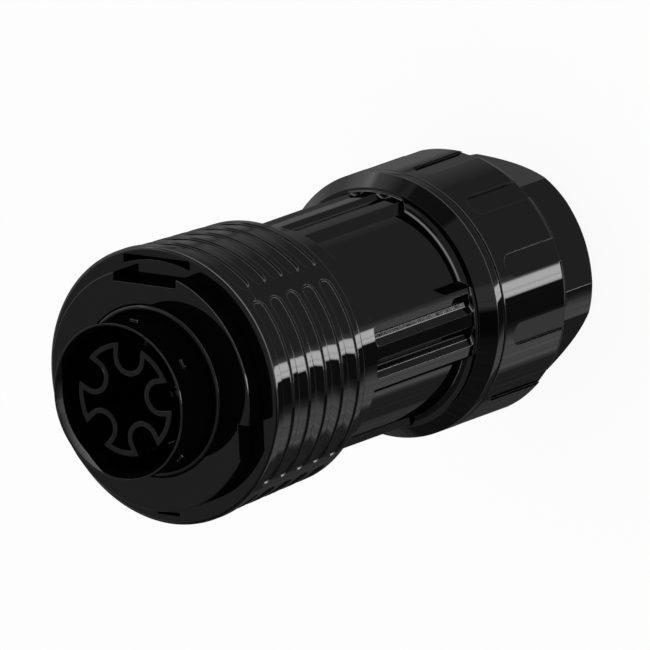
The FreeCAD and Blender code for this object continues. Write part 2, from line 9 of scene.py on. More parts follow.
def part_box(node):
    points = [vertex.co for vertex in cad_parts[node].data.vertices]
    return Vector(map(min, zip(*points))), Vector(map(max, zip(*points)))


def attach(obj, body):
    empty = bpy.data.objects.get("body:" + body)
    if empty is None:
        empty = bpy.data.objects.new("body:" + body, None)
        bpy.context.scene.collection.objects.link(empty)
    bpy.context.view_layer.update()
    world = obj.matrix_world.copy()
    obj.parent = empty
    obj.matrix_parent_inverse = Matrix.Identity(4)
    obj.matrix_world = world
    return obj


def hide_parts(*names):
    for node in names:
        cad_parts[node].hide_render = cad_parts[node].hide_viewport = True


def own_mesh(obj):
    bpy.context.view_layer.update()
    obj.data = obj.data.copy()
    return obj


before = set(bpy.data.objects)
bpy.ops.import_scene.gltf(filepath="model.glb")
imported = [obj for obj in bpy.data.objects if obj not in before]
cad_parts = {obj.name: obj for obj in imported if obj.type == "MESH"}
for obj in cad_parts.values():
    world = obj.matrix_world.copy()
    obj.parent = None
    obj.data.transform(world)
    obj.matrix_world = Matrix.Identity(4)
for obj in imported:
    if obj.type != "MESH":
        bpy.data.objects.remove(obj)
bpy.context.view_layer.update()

bl_info = {
    "name": "Inline Socket Connector",
    "version": (1, 0, 0),
    "blender": (4, 5, 0),
    "location": "3D View > Sidebar > Connector",
    "description": "Models and finishes the pieces of an inline socket connector on its fixed frame",
    "category": "Object",
}

MM = 0.001
MERGE = 0.001 * MM
OVERCUT = 1.0 * MM
QUARTER_TURN = math.pi / 2
SAME_ANGLE = 1e-4

# Roundings that only soften an edge
CRISP_EDGE = 0.05 * MM
FINE_EDGE = 0.1 * MM
SMALL_EDGE = 0.2 * MM
PLAIN_EDGE = 0.3 * MM
WIDE_EDGE = 0.4 * MM

# Fineness of the meshes
ARC_STEPS = 5
GROOVE_STEPS = 60
GROOVE_END_STEPS = 16
LATCH_CORNER_STEPS = 4
FLUTE_CORNER_STEPS = 6
FLUTE_ROOT_STEPS = 4
GRIP_POCKET_STEPS = 10
KEY_CORNER_STEPS = 4
KEY_EDGE_STEPS = 3
WEB_EDGE_STEPS = 3
POST_SIDES = 64
SMOOTH_ANGLE = math.radians(28)
CRISP_ANGLE = math.radians(40)

HEXAGON_SIDES = 6
WHITE = (1, 1, 1, 1)

# Softboxes and screens round the object, below and above the sill: bearing in degrees, brightness
STUDIO_LOW = (
    (-180, 5.5),
    (-150, 4.0),
    (-141, 1.8),
    (-112, 1.8),
    (-106, 0.8),
    (-75, 0.8),
    (-70, 3.6),
    (-46, 3.6),
    (-34, 0.7),
    (-28, 0.2),
    (-6.6, 0.2),
    (-5.4, 26.0),
    (5.4, 26.0),
    (7, 2.5),
    (12, 0.9),
    (104, 0.9),
    (140, 3.1),
    (146, 1.6),
    (158, 5.5),
    (180, 5.5),
)
STUDIO_HIGH = (
    (-180, 2.8),
    (-150, 2.8),
    (-120, 0.28),
    (-36, 0.28),
    (-22, 0.05),
    (-9, 0.05),
    (-4, 1.7),
    (10, 1.7),
    (12, 0.9),
    (65, 0.9),
    (67, 0.25),
    (101, 0.3),
    (103, 0.9),
    (116, 0.4),
    (128, 0.9),
    (132, 5.0),
    (138, 3.0),
    (180, 2.8),
)

SLEEVE_LOW, SLEEVE_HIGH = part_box("coupling_sleeve")
BODY_LOW, BODY_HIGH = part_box("socket_body")
NUT_LOW, NUT_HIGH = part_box("gland_nut")
SHROUD_LOW, SHROUD_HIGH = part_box("insert_shroud")
CARRIER_LOW, CARRIER_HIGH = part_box("contact_carrier")


def length(name, description, millimetres):
    """A property for a size, written in millimetres and kept in metres."""
    return bpy.props.FloatProperty(
        name=name, description=description, default=millimetres * MM, unit="LENGTH", precision=5
    )


def turning(name, description, degrees):
    """A property for an angle, written in degrees and kept in radians."""
    return bpy.props.FloatProperty(
        name=name, description=description, default=math.radians(degrees), subtype="ANGLE"
    )


def count(name, description, number):
    """A property for how many there are of a feature."""
    return bpy.props.IntProperty(name=name, description=description, default=number, min=1)


def share(name, description, value):
    """A property for a plain number such as a roughness."""
    return bpy.props.FloatProperty(name=name, description=description, default=value, precision=4)


def colour(name, description, *rgb):
    """A property for a finish's colour, in linear light."""
    return bpy.props.FloatVectorProperty(
        name=name, description=description, default=rgb, subtype="COLOR", min=0.0, max=1.0
    )


class SleeveSettings(bpy.types.PropertyGroup):
    """Sizes of the coupling sleeve."""

    steps: count("Steps", "Facets round the sleeve", 360)
    front_edge: length("Front Edge", "Radius that rounds the front rim", 0.7)
    rear_edge: length("Rear Edge", "Radius that rounds the rear rim", 0.7)
    waist: length("Waist", "Radius of the grip just behind the front band", 21.35)
    rear: length("Rear Radius", "Radius of the grip at its rear end", 20.55)
    bore: length("Bore", "Radius of the bore in the front wall", 16.4)
    cavity: length("Cavity", "Radius of the room for the spring", 18.55)
    spring_keep: share("Spring Keep", "Share of its length that the spring keeps at full pull", 0.49)
    wall: length("Front Wall", "Thickness of the front wall", 3.0)
    rows: count("Groove Rows", "Grip grooves along the sleeve", 5)
    segments: count("Groove Segments", "Pieces that each groove is split into", 4)
    first: length("First Groove", "Middle of the first groove behind the front face", 3.6)
    pitch: length("Groove Pitch", "Distance from groove to groove", 4.28)
    groove: length("Groove Width", "Width of a groove half way down", 2.6)
    depth: length("Groove Depth", "Depth of a groove", 0.35)
    slope: length("Groove Slope", "How far a groove's wall leans out", 0.3)
    lip: length("Groove Lip", "Radius that rounds a groove's upper edge", 0.2)
    root: length("Groove Root", "Radius that rounds a groove's foot", 0.2)
    land: turning("Groove Land", "Angle of the bridge between two groove segments", 6.0)
    pocket_arc: length("Pocket Arc", "Radius of a latch pocket's inner wall", 19.6)
    pocket_flat: length("Pocket Flat", "Distance of a latch pocket's outer wall from the axis", 20.05)
    pocket_top: turning("Top Pocket", "Half of the angle that the upper latch pocket spans", 17.5)
    pocket_low: turning("Low Pocket", "Half of the angle that the lower latch pocket spans", 6.3)
    pocket_corner: length("Pocket Corner", "Radius of a latch pocket's outer corners", 0.3)
    pocket_depth: length("Pocket Depth", "Depth of a latch pocket", 5.5)


class BodySettings(bpy.types.PropertyGroup):
    """Sizes of the socket body."""

    steps: count("Steps", "Facets round the body", 360)
    barrel: length("Barrel", "Radius of the barrel", 18.25)
    flange_rear: length("Flange Rear", "Station of the flange's rear face", 29.9)
    cone_rear: length("Cone Rear", "Station where the flange's cone starts", 31.5)
    cone_front: length("Cone Front", "Station where the flange's cone ends", 33.8)
    cone_radius: length("Cone Radius", "Radius of the cone at its small end", 18.86)
    spigot: length("Spigot", "Radius of the gland spigot", 16.0)
    shoulder: length("Shoulder", "Station of the spring's shoulder", 76.6)
    neck: length("Neck", "Radius of the neck that the sleeve slides on", 16.2)
    seal_bore: length("Seal Bore", "Radius of the bore for the cable seal", 12.9)
    seal_front: length("Seal Front", "Station of the seal bore's floor", 26.0)
    chamber: length("Wire Chamber", "Radius of the wire chamber", 12.0)
    insert_bore: length("Insert Bore", "Radius of the bore for the insert", 14.6)
    insert_floor: length("Insert Floor", "Station of the insert bore's floor", 52.0)
    edge: length("Edge", "Radius that rounds the flange's rims", 0.22)
    panels: count("Panels", "Recessed panels round the barrel", 4)
    panel_floor: length("Panel Floor", "Radius of the panels' round floor", 17.1)
    panel_top_half: turning("Panel Top", "Half of a panel's angle at the barrel's surface", 28.0)
    panel_floor_half: turning("Panel Foot", "Half of a panel's angle at its floor", 23.5)
    panel_front: length("Panel Front", "Station of a panel's front wall", 58.8)
    panel_root: length("Panel Root", "Radius between a panel's floor and the flange", 1.4)
    barrel_root: length("Barrel Root", "Radius between the barrel and the flange", 0.5)
    flute_rear: length("Flute Rear", "Station of a flute's rear end", 34.1)
    flute_turn: turning("Flute Turn", "Angle of the middle of a pair of flutes", 1.3)
    flute_spread: turning("Flute Spread", "Angle of a flute from the middle of its pair", 8.1)
    flute_width: length("Flute Width", "Width of a flute at the barrel's surface", 3.4)
    flute_floor: length("Flute Floor", "Width of a flute at its floor", 0.8)
    flute_depth: length("Flute Depth", "Depth of a flute", 0.65)
    flute_corner: length("Flute Corner", "Radius of a flute's corners", 0.7)
    flute_root: length("Flute Root", "Radius along a flute's foot", 0.1)


class NutSettings(bpy.types.PropertyGroup):
    """Sizes of the gland nut."""

    steps: count("Steps", "Facets round the nut", 360)
    hexagon: length("Hexagon", "Length of the hexagon", 13.8)
    flats: length("Across Flats", "Distance across the hexagon's flats", 32.6)
    corner: length("Corner Radius", "Radius that the hexagon's corners are turned to", 17.6)
    hexagon_turn: turning("Hexagon Turn", "Angle of a flat of the hexagon", 19.7)
    cone: length("Cone", "Length of the cone at the rear end", 3.2)
    rear: length("Rear Radius", "Radius of the rear face", 14.7)
    cable_exit: length("Cable Exit", "Radius of the cable exit", 11.0)
    floor: length("Floor", "Station of the nut's inner floor", 4.6)
    cavity: length("Cavity", "Radius of the room for the clamp", 14.3)
    thread_floor: length("Thread Floor", "Station where the threaded bore ends", 15.4)
    thread_bore: length("Thread Bore", "Radius of the threaded bore", 16.2)
    edge: length("Edge", "Radius that rounds the grip's rims", 0.45)
    rim_step: length("Rim Step", "How far the grip's rear rim is drawn in", 0.25)
    rim_length: length("Rim Length", "Length over which the rear rim is drawn in", 0.9)
    pockets: count("Pockets", "Shallow pockets round the grip", 12)
    pocket_turn: turning("Pocket Turn", "Angle of the first pocket", 20.2)
    pocket_width: length("Pocket Width", "Width of a pocket", 3.63)
    pocket_depth: length("Pocket Depth", "Depth of a pocket", 0.5)
    pocket_front: length("Pocket Front", "Distance of a pocket from the nut's front face", 2.2)
    pocket_round: share("Pocket Round", "Radius of a pocket's corners as a share of its width", 0.49)


class ShroudSettings(bpy.types.PropertyGroup):
    """Sizes of the insert shroud."""

    steps: count("Steps", "Facets round the shroud", 300)
    collar_rear: length("Collar Rear", "Station of the collar's rear face", 88.6)
    collar_front: length("Collar Front", "Station of the collar's front face", 91.7)
    tube: length("Tube", "Outside radius of the mating tube", 12.2)
    bore: length("Bore", "Inside radius of the mating tube", 11.35)
    mouth_length: length("Mouth Length", "Length of the lead-in at the tube's mouth", 1.05)
    mouth_flare: length("Mouth Flare", "How far the lead-in opens the tube's mouth", 0.56)
    rim: length("Rim", "Radius that rounds the tube's rim", 0.06)
    edge: length("Edge", "Radius that rounds the rims", 0.2)
    skirt: length("Skirt", "Radius of the skirt in the body", 14.5)
    seal_low: length("Seal Groove Low", "Rear station of the seal groove", 82.9)
    seal_high: length("Seal Groove High", "Front station of the seal groove", 84.7)
    seal_radius: length("Seal Groove", "Radius of the seal groove's floor", 12.9)
    seat_radius: length("Seat", "Outside radius of the seal's seat", 13.4)
    seat_depth: length("Seat Depth", "Depth of the seal's seat", 0.8)
    notch_floor: length("Notch Floor", "Distance of the key notch's floor from the axis", 16.5)
    notch_width: length("Notch Width", "Width of the key notch", 12.0)
    side_floor: length("Side Notch Floor", "Distance of the side notch's floor from the axis", 17.2)
    side_width: length("Side Notch Width", "Width of the side notch", 9.0)
    flat_floor: length("Flat Floor", "Distance of the low flat from the axis", 16.5)
    flat_top: length("Flat Top", "Height at which the low flat starts", -3.4)
    key_width: length("Key Width", "Width of a key on the tube", 1.5)
    key_length: length("Key Length", "Length of a key on the tube", 2.4)
    key_setback: length("Key Setback", "Distance of a key from the tube's front", 2.6)
    key_height: length("Key Height", "Height of a key", 0.35)
    key_corner: length("Key Corner", "Radius of a key's corners", 0.5)
    key_edge: length("Key Edge", "Radius that rounds a key's top", 0.12)
    key_angles: bpy.props.FloatVectorProperty(
        name="Key Angles",
        description="Places of the keys round the tube",
        size=4,
        subtype="EULER",
        default=[math.radians(angle) for angle in (83.0, 32.0, -43.0, -167.0)],
    )


class CarrierSettings(bpy.types.PropertyGroup):
    """Sizes of the contact carrier."""

    steps: count("Steps", "Facets round the carrier", 240)
    poles: count("Poles", "Contacts that the carrier holds", 5)
    pole_circle: length("Pole Circle", "Radius of the circle that the contacts stand on", 6.7)
    pole_turn: turning("Pole Turn", "Angle of the first contact", 9.0)
    flange: length("Flange", "Radius of the flange", 14.5)
    flange_front: length("Flange Front", "Station of the flange's front face", 79.0)
    hub: length("Hub", "Radius of the hub", 11.25)
    hub_front: length("Hub Front", "Station of the hub's front face", 83.0)
    web: length("Web", "Radius of the star web", 8.85)
    web_edge: length("Web Edge", "Radius that rounds the edges of the web", 0.14)
    web_wall: length("Web Wall", "Thickness of the web's walls", 0.9)
    chamber: length("Chamber", "Radius of a contact's chamber", 2.06)
    mouth: length("Mouth", "Width of a chamber's slot at twice the web's radius", 4.9)
    socket_hole: length("Socket Hole", "Radius of the hole that a contact passes", 1.95)


class FinishSettings(bpy.types.PropertyGroup):
    """Colours and gloss of the finishes."""

    plastic: colour("Housing Plastic", "Glossy black housing plastic", 0.0011, 0.0011, 0.0012)
    insulator: colour("Insulator Plastic", "Black insulator plastic", 0.0010, 0.0010, 0.0011)
    gland: colour("Gland Plastic", "Matt dark plastic of the clamp pieces", 0.0060, 0.0060, 0.0065)
    rubber: colour("Seal Rubber", "Black seal rubber", 0.0020, 0.0020, 0.0020)
    brass: colour("Contact Metal", "Silvered contact brass", 0.78, 0.74, 0.66)
    steel: colour("Spring Steel", "Bright steel", 0.60, 0.60, 0.58)
    contact_gloss: share("Contact Gloss", "Roughness of the contacts", 0.22)
    spring_gloss: share("Spring Gloss", "Roughness of the springs", 0.28)
    screw_gloss: share("Screw Gloss", "Roughness of the screws", 0.34)
    marks: share("Tool Marks", "Fineness of the tool marks on metal", 1500.0)
    gloss: share("Gloss", "Roughness of the polished mouldings", 0.015)
    sheen: share("Sheen", "Roughness of the seals' smooth rubber", 0.06)
    matt: share("Matt", "Roughness of the matt mouldings", 0.35)
    mirror: share("Mirror", "Share of light that the polished mouldings throw back", 0.0145)
    flow: share("Flow", "Fineness of the mouldings' flow mottling", 90.0)
    grain: share("Grain", "Strength of the mouldings' fine unevenness", 0.002)
    grain_scale: share("Grain Scale", "Fineness of the mouldings' fine unevenness", 2600.0)
    grain_height: length("Grain Height", "Height of the mouldings' fine unevenness", 0.02)
    bevel: length("Edge Softness", "Radius of the soft light on crisp edges", 0.15)


class StageSettings(bpy.types.PropertyGroup):
    """Camera, floor and light."""

    azimuth: turning("Azimuth", "Direction that the camera stands in, from the X axis", 21.69)
    elevation: turning("Elevation", "Height of the camera above the horizon", 50.17)
    roll: turning("Roll", "Turn of the camera about its view", -109.7)
    aim: bpy.props.FloatVectorProperty(
        name="Aim",
        description="Point in the middle of the picture",
        subtype="XYZ",
        unit="LENGTH",
        default=(18.51 * MM, 7.84 * MM, 71.67 * MM),
    )
    width: length("Picture Width", "Width that the picture shows at the aim", 98.2)
    lens: share("Lens", "Focal length of the camera, in millimetres", 1500.0)
    floor: length("Floor", "Half of the floor's width", 1500.0)
    floor_colour: colour("Floor Colour", "Pale floor", 0.90, 0.90, 0.90)
    floor_white: share("Floor White", "Share of plain white that the floor shows", 0.92)
    world: share("World", "Brightness of the soft surroundings", 0.85)
    softbox: share("Softbox", "Brightness of the tall softbox that gloss shows", 30.0)
    overhead: share("Overhead", "Height of a direction above which gloss shows plain surroundings", 0.62)
    sill: share("Sill", "Height of a direction at which the low softboxes end", -0.2)
    sill_fade: share("Sill Fade", "Height over which the low softboxes fade out", 0.15)
    horizon: share("Horizon", "Brightness of the horizon that gloss shows", 14.0)
    horizon_height: share("Horizon Height", "Height of a direction in the middle of the horizon", -0.12)
    band: share("Horizon Band", "Height over which the bright horizon fades out", 0.34)
    ground: share("Ground", "Brightness of the ground that gloss shows straight below", 7.0)
    ground_edge: share("Ground Edge", "Height of a direction at which the bright ground starts", -0.84)
    ground_fade: share("Ground Fade", "Height over which the bright ground fades in", 0.08)
    dawn: turning("Dawn", "Bearing of the brightest part of the horizon", 60.0)
    streaks: share("Streaks", "Fineness of the streaks in the softboxes", 18.0)
    lamp_place: bpy.props.FloatVectorProperty(
        name="Lamp Place",
        description="Place of the high lamp",
        subtype="XYZ",
        unit="LENGTH",
        default=(-350 * MM, 450 * MM, 600 * MM),
    )
    lamp_target: length("Lamp Target", "Height on the axis that the high lamp points at", 50.0)
    lamp_size: length("Lamp Size", "Width of the high lamp", 400.0)
    lamp_power: share("Lamp Power", "Power of the high lamp, in watts", 0.5)


# Modelling


def pick(*objects):
    """Select these objects alone, with the first one active."""
    bpy.ops.object.select_all(action="DESELECT")
    for item in objects:
        item.select_set(True)
    bpy.context.view_layer.objects.active = objects[0]


def outline(*corners):
    """Points of a closed outline; a corner's third number is the radius that rounds it."""
    points = []
    befores = corners[-1:] + corners[:-1]
    afters = corners[1:] + corners[:1]
    for before, corner, after in zip(befores, corners, afters):
        here = Vector(corner[:2])
        if len(corner) == 2:
            points.append(here)
            continue
        radius = corner[2]
        back = (Vector(before[:2]) - here).normalized()
        ahead = (Vector(after[:2]) - here).normalized()
        half = back.angle(ahead) / 2
        start = here + back * (radius / math.tan(half))
        centre = here + (back + ahead).normalized() * (radius / math.sin(half))
        for step in range(ARC_STEPS + 1):
            swing = (math.pi - 2 * half) * step / ARC_STEPS
            along = (start - centre) * math.cos(swing) - back * (radius * math.sin(swing))
            points.append(centre + along)
    return points


def draw(name, points):
    """A closed line through (x, z) points, left in edit mode with all of it selected."""
    bpy.ops.object.select_all(action="DESELECT")
    bpy.ops.mesh.primitive_plane_add(size=MM)
    piece = bpy.context.object
    piece.name = name
    piece.data.name = name
    bpy.ops.object.mode_set(mode="EDIT")
    bpy.ops.mesh.select_mode(type="VERT")
    bpy.ops.mesh.merge(type="CENTER")
    bpy.ops.transform.translate(value=(points[0].x, 0, points[0].y))
    for here, there in zip(points, points[1:] + points[:1]):
        move = there - here
        bpy.ops.mesh.extrude_vertices_move(TRANSFORM_OT_translate={"value": (move.x, 0, move.y)})
    bpy.ops.mesh.select_all(action="SELECT")
    bpy.ops.mesh.remove_doubles(threshold=MERGE)
    return piece


def close():
    """Merge the seams of the mesh in edit mode, point its faces outwards and leave edit mode."""
    bpy.ops.mesh.select_all(action="SELECT")
    bpy.ops.mesh.remove_doubles(threshold=MERGE)
    bpy.ops.mesh.normals_make_consistent(inside=False)
    bpy.ops.object.mode_set(mode="OBJECT")


def lathe(name, steps, *corners):
    """A turned solid from the (radius, z) corners of its section."""
    piece = draw(name, outline(*corners))
    bpy.ops.mesh.spin(steps=steps, angle=math.tau, center=(0, 0, 0), axis=(0, 0, 1))
    close()
    return piece


def block(low, high):
    """A box between two corners."""
    bpy.ops.object.select_all(action="DESELECT")
    bpy.ops.mesh.primitive_cube_add(size=1, location=(Vector(low) + Vector(high)) / 2)
    piece = bpy.context.object
    piece.scale = Vector(high) - Vector(low)
    bpy.ops.object.transform_apply(location=True, rotation=True, scale=True)
    return piece


def post(radius, low, high, place, sides=POST_SIDES):
    """An upright cylinder between two heights, at a place in X and Y."""
    bpy.ops.object.select_all(action="DESELECT")
    bpy.ops.mesh.primitive_cylinder_add(
        vertices=sides, radius=radius, depth=high - low, location=(place[0], place[1], (low + high) / 2)
    )
    bpy.ops.object.transform_apply(location=True, rotation=True, scale=True)
    return bpy.context.object


def stretch(piece, factors, chosen):
    """Scale the corners of a piece that chosen(corner) picks, about the origin."""
    pick(piece)
    bpy.ops.object.mode_set(mode="EDIT")
    bpy.ops.mesh.select_mode(type="VERT")
    bpy.ops.mesh.select_all(action="DESELECT")
    bpy.ops.object.mode_set(mode="OBJECT")
    for corner in piece.data.vertices:
        corner.select = chosen(corner.co)
    bpy.ops.object.mode_set(mode="EDIT")
    bpy.ops.transform.resize(value=factors, center_override=(0, 0, 0))
    bpy.ops.object.mode_set(mode="OBJECT")


def round_edges(piece, radius, steps, chosen):
    """Bevel the edges of a piece that chosen(low end, high end) picks."""
    pick(piece)
    bpy.ops.object.mode_set(mode="EDIT")
    bpy.ops.mesh.select_mode(type="EDGE")
    bpy.ops.mesh.select_all(action="DESELECT")
    bpy.ops.object.mode_set(mode="OBJECT")
    spots = piece.data.vertices
    for edge in piece.data.edges:
        edge.select = chosen(*(spots[index].co for index in edge.vertices))
    bpy.ops.object.mode_set(mode="EDIT")
    bpy.ops.mesh.bevel(offset=radius, segments=steps, affect="EDGES")
    bpy.ops.object.mode_set(mode="OBJECT")
    return piece


def soften(piece, radius):
    """Round every crisp edge of a piece a little."""
    pick(piece)
    change = piece.modifiers.new("Soften", "BEVEL")
    change.width = radius
    change.segments = WEB_EDGE_STEPS
    change.limit_method = "ANGLE"
    change.angle_limit = CRISP_ANGLE
    change.use_clamp_overlap = False
    bpy.ops.object.modifier_apply(modifier=change.name)
    return piece


def turned_copy(piece, angle):
    """A copy of a piece, with its own mesh, turned about the axis."""
    pick(piece)
    bpy.ops.object.duplicate()
    copy = bpy.context.object
    copy.rotation_euler.z = angle
    bpy.ops.object.transform_apply(location=True, rotation=True, scale=True)
    return copy


def ring_of(piece, number, first=0.0):
    """Copies of a piece spaced evenly round the axis, in place of the piece itself."""
    copies = [turned_copy(piece, first + math.tau * step / number) for step in range(number)]
    bpy.data.objects.remove(piece)
    return copies


def combine(piece, others, operation):
    """Cut other objects from a piece, or add them to it, all in one go."""
    pick(*others)
    if len(others) > 1:
        bpy.ops.object.join()
    tool = bpy.context.object
    pick(piece)
    change = piece.modifiers.new(operation.title(), "BOOLEAN")
    change.operation = operation
    change.object = tool
    change.solver = "MANIFOLD"
    bpy.ops.object.modifier_apply(modifier=change.name)
    bpy.data.objects.remove(tool)
    return piece


def cut(piece, *cutters):
    """Take cutters that don't meet each other out of a piece."""
    return combine(piece, cutters, "DIFFERENCE")


def dress(piece, node, body, material):
    """Smooth a finished piece, give it its finish and let it stand for its node."""
    pick(piece)
    bpy.ops.object.mode_set(mode="EDIT")
    close()
    bpy.ops.object.shade_smooth_by_angle(angle=SMOOTH_ANGLE)
    bpy.ops.object.modifier_add(type="WEIGHTED_NORMAL")
    piece.modifiers.active.keep_sharp = True
    bpy.ops.object.modifier_apply(modifier=piece.modifiers.active.name)
    piece.data.materials.clear()
    piece.data.materials.append(material)
    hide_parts(node)
    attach(piece, body)


# Finishes


class Socket:
    """A node's output that takes part in arithmetic; every sign adds a Math node."""

    def __init__(self, bench, output):
        self.bench = bench
        self.output = output

    def math(self, operation, first, second):
        return self.bench.node("ShaderNodeMath", {"operation": operation}, {0: first, 1: second})

    def __add__(self, other):
        return self.math("ADD", self, other)

    def __radd__(self, other):
        return self.math("ADD", other, self)

    def __sub__(self, other):
        return self.math("SUBTRACT", self, other)

    def __rsub__(self, other):
        return self.math("SUBTRACT", other, self)

    def __mul__(self, other):
        return self.math("MULTIPLY", self, other)

    def __rmul__(self, other):
        return self.math("MULTIPLY", other, self)


class Bench:
    """The node tree of a material or of the world."""

    def __init__(self, owner):
        self.owner = owner
        owner.use_nodes = True
        self.tree = owner.node_tree
        self.tree.nodes.clear()

    def node(self, kind, settings=None, sockets=None, output=0):
        """Add a node: its settings or ramp stops first, then the values or links of its sockets."""
        made = self.tree.nodes.new(kind)
        for name, value in (settings or {}).items():
            if name == "stops":
                self.set_stops(made.color_ramp.elements, value)
            else:
                setattr(made, name, value)
        for name, value in (sockets or {}).items():
            if isinstance(value, Socket):
                self.tree.links.new(value.output, made.inputs[name])
            else:
                made.inputs[name].default_value = value
        return Socket(self, made.outputs[output])

    def set_stops(self, elements, stops):
        """Fill a ramp with (place, level) stops from a grey scale."""
        for place, _ in stops[1:-1]:
            elements.new(place)
        for element, (place, level) in zip(elements, stops):
            element.position = place
            element.color = (level, level, level, 1.0)

    def noise(self, scale, detail=3.0):
        """Soft mottling fixed to the object, about 0.5 on average."""
        place = self.node("ShaderNodeTexCoord", output="Object")
        return self.node("ShaderNodeTexNoise", {}, {"Vector": place, "Scale": scale, "Detail": detail})

    def finish(self, shader, output="ShaderNodeOutputMaterial"):
        """Lead a shader to the surface and hand back what it belongs to."""
        end = self.tree.nodes.new(output)
        self.tree.links.new(shader.output, end.inputs["Surface"])
        return self.owner


def tint(rgb, level=1.0):
    """A colour property as four numbers, brightened or darkened by a level."""
    return (rgb[0] * level, rgb[1] * level, rgb[2] * level, 1.0)


def moulding(name, rgb, roughness, look):
    """Moulded black plastic: a dark body with faint flow mottling, under an even gloss."""
    bench = Bench(bpy.data.materials.new(name))
    flow = bench.noise(look.flow)
    soft = bench.node("ShaderNodeBevel", {"samples": 6}, {"Radius": look.bevel})
    uneven = bench.node("ShaderNodeBump", {}, {
        "Strength": look.grain,
        "Distance": look.grain_height,
        "Height": bench.noise(look.grain_scale, 2.0),
        "Normal": soft,
    })
    base = bench.node(
        "ShaderNodeMix",
        {"data_type": "RGBA"},
        {"Factor": flow, 6: tint(rgb, 0.9), 7: tint(rgb, 1.1)},
        output=2,
    )
    dark = bench.node("ShaderNodeBsdfPrincipled", {}, {
        "Base Color": base,
        "Roughness": 0.5,
        "Specular IOR Level": 0.0,
        "Normal": uneven,
    })
    mirror = bench.node("ShaderNodeBsdfPrincipled", {}, {
        "Base Color": WHITE,
        "Metallic": 1.0,
        "Roughness": roughness * (0.8 + 0.4 * flow),
        "Normal": uneven,
    })
    return bench.finish(bench.node("ShaderNodeMixShader", {}, {"Fac": look.mirror, 1: dark, 2: mirror}))


def bare_metal(name, rgb, roughness, look):
    """Turned or drawn metal with fine tool marks."""
    bench = Bench(bpy.data.materials.new(name))
    marks = bench.noise(look.marks)
    return bench.finish(bench.node("ShaderNodeBsdfPrincipled", {}, {
        "Base Color": bench.node(
            "ShaderNodeMix",
            {"data_type": "RGBA"},
            {"Factor": marks, 6: tint(rgb, 0.92), 7: tint(rgb, 1.0)},
            output=2,
        ),
        "Metallic": 1.0,
        "Roughness": roughness * (0.7 + 0.6 * marks),
    }))


def finishes(scene):
    """The finishes by slot, made once and then shared by the pieces."""
    look = scene.connector_finish
    makers = {
        "housing_plastic": lambda name: moulding(name, look.plastic, look.gloss, look),
        "gland_plastic": lambda name: moulding(name, look.gland, look.matt, look),
        "insulator_plastic": lambda name: moulding(name, look.insulator, look.gloss, look),
        "seal_rubber": lambda name: moulding(name, look.rubber, look.sheen, look),
        "contact_metal": lambda name: bare_metal(name, look.brass, look.contact_gloss, look),
        "spring_steel": lambda name: bare_metal(name, look.steel, look.spring_gloss, look),
        "screw_steel": lambda name: bare_metal(name, look.steel, look.screw_gloss, look),
    }
    made = {}
    for name, maker in makers.items():
        made[name] = bpy.data.materials.get("finish_" + name) or maker("finish_" + name)
    return made


# Pieces


def groove_cutter(sizes, radius):
    """Cutter for one groove segment round z = 0: a curved strip with round ends and soft lips."""
    floor = radius - sizes.depth
    top = radius + OVERCUT
    outer = sizes.groove / 2 + sizes.slope / 2
    inner = outer - sizes.slope
    rim = outer + sizes.lip
    section = outline(
        (floor, 0),
        (floor, inner, sizes.root),
        (radius, outer, sizes.lip),
        (radius, rim),
        (top, rim + sizes.lip),
        (top, 0),
        (top, -rim - sizes.lip),
        (radius, -rim),
        (radius, -outer, sizes.lip),
        (floor, -inner, sizes.root),
    )
    end = outer / radius
    sweep = math.tau / sizes.segments - sizes.land - 2 * end
    piece = draw("groove_cutter", section)
    bpy.ops.mesh.spin(steps=GROOVE_STEPS, angle=-sweep, center=(0, 0, 0), axis=(0, 0, 1))
    for angle, turn_way in ((0.0, -1), (sweep, 1)):
        bpy.ops.object.mode_set(mode="OBJECT")
        for item in (*piece.data.vertices, *piece.data.edges, *piece.data.polygons):
            item.select = False
        for corner in piece.data.vertices:
            here = math.atan2(corner.co.y, corner.co.x)
            corner.select = abs(here - angle) < SAME_ANGLE and corner.co.z > -MERGE
        bpy.ops.object.mode_set(mode="EDIT")
        bpy.ops.mesh.select_mode(type="VERT")
        bpy.ops.mesh.spin(
            steps=GROOVE_END_STEPS,
            angle=math.pi * turn_way,
            center=(0, 0, 0),
            axis=(math.cos(angle), math.sin(angle), 0),
        )
    close()
    piece.rotation_euler.z = -sweep / 2
    pick(piece)
    bpy.ops.object.transform_apply(location=True, rotation=True, scale=True)
    return piece


def pocket_cutter(sizes, half_angle, front):
    """Cutter for a latch pocket on the X axis: round inner wall, flat outer wall, soft outer corners."""
    span = sizes.pocket_flat * math.tan(half_angle)
    bottom, top = front - sizes.pocket_depth, front + OVERCUT
    pocket = block((0, -span, bottom), (sizes.pocket_flat, span, top))
    outer = sizes.pocket_flat - MERGE
    round_edges(
        pocket,
        sizes.pocket_corner,
        LATCH_CORNER_STEPS,
        lambda a, b: min(a.x, b.x) > outer and abs(a.z - b.z) > MERGE,
    )
    return cut(pocket, post(sizes.pocket_arc, bottom - OVERCUT, top + OVERCUT, (0, 0), sizes.steps))


